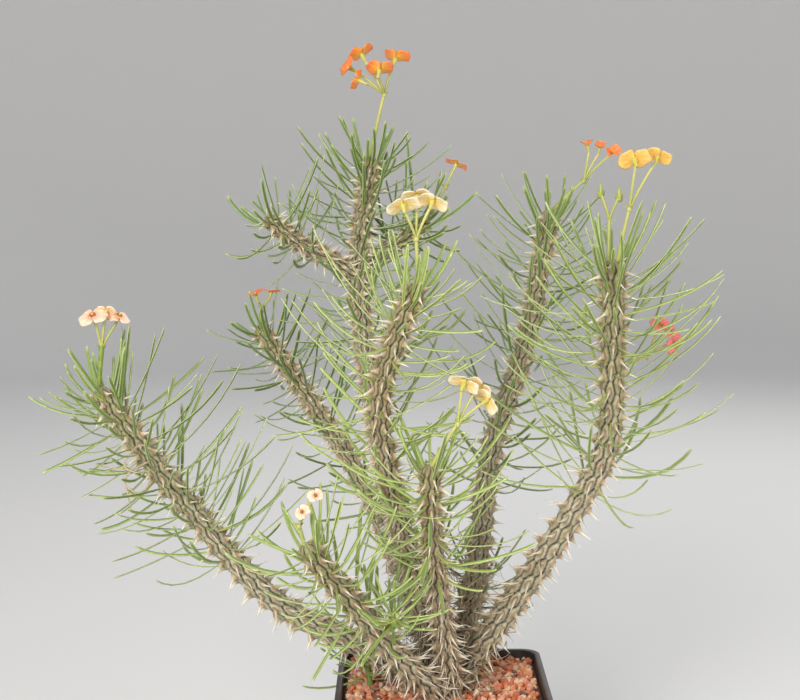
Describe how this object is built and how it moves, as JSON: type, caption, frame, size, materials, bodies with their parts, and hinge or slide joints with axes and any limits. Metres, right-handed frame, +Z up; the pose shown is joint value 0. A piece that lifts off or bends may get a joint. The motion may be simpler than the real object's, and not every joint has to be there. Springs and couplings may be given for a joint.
{
  "type": "potted euphorbia",
  "caption": "Spiny succulent shrub with narrow leaves and small two-bract flowers on forked stalks, growing from gravel in a tapered square nursery pot.",
  "frame": {"origin": "middle of the underside of the pot", "axes": "+Z up; -Y towards the front of the plant; +X to its right"},
  "size_m": [0.3923, 0.2576, 0.5028],
  "materials": {
    "nursery_pot": "satin",
    "potting_mix": "matte",
    "gravel": "matte",
    "bark": "matte",
    "leaf": "satin",
    "flower_stalk": "satin",
    "bract_salmon": "satin",
    "bract_orange": "satin",
    "bract_peach": "satin",
    "bract_apricot": "satin",
    "bract_coral": "satin"
  },
  "bodies": {
    "root": {"root_crown": "bark", "stem_far_left": "bark", "stem_right_front": "bark", "stem_middle_front": "bark", "stem_low_front_left": "bark", "stem_short_front": "bark", "stem_right_back": "bark", "stem_tall_middle": "bark", "stem_left_back": "bark", "stem_branch_left": "bark", "stem_branch_right": "bark", "stem_small_back": "bark", "pot": "nursery_pot", "potting_mix": "potting_mix", "gravel_layer": "gravel", "flower_stalk_far_left": "flower_stalk", "flower_far_left_1": "bract_salmon", "flower_far_left_2": "bract_salmon", "flower_stalk_left_back": "flower_stalk", "flower_left_back_1": "bract_orange", "flower_left_back_2": "bract_orange", "flower_stalk_tall_middle": "flower_stalk", "flower_tall_middle_1": "bract_orange", "flower_tall_middle_2": "bract_orange", "flower_tall_middle_3": "bract_orange", "flower_tall_middle_4": "bract_orange", "flower_stalk_branch_right": "flower_stalk", "flower_branch_right_1": "bract_orange", "flower_stalk_middle_front": "flower_stalk", "flower_middle_front_1": "bract_peach", "flower_middle_front_2": "bract_peach", "flower_stalk_short_front": "flower_stalk", "flower_short_front_1": "bract_peach", "flower_short_front_2": "bract_peach", "flower_stalk_right_back": "flower_stalk", "flower_right_back_1": "bract_orange", "flower_right_back_2": "bract_orange", "flower_stalk_right_front": "flower_stalk", "flower_right_front_1": "bract_apricot", "flower_right_front_2": "bract_apricot", "flower_stalk_low_front_left": "flower_stalk", "flower_low_front_left_1": "bract_salmon", "flower_low_front_left_2": "bract_salmon", "flower_stalk_right_side": "flower_stalk", "flower_right_side_1": "bract_coral", "flower_right_side_2": "bract_coral", "flower_stalk_right_front_buds": "flower_stalk", "leaves_far_left": "leaf", "leaves_right_front": "leaf", "leaves_middle_front": "leaf", "leaves_low_front_left": "leaf", "leaves_short_front": "leaf", "leaves_right_back": "leaf", "leaves_tall_middle": "leaf", "leaves_left_back": "leaf", "leaves_branch_left": "leaf", "leaves_branch_right": "leaf", "leaves_small_back": "leaf", "leaves_side_shoot": "leaf", "leaves_seedling": "leaf"}
  },
  "joints": []
}
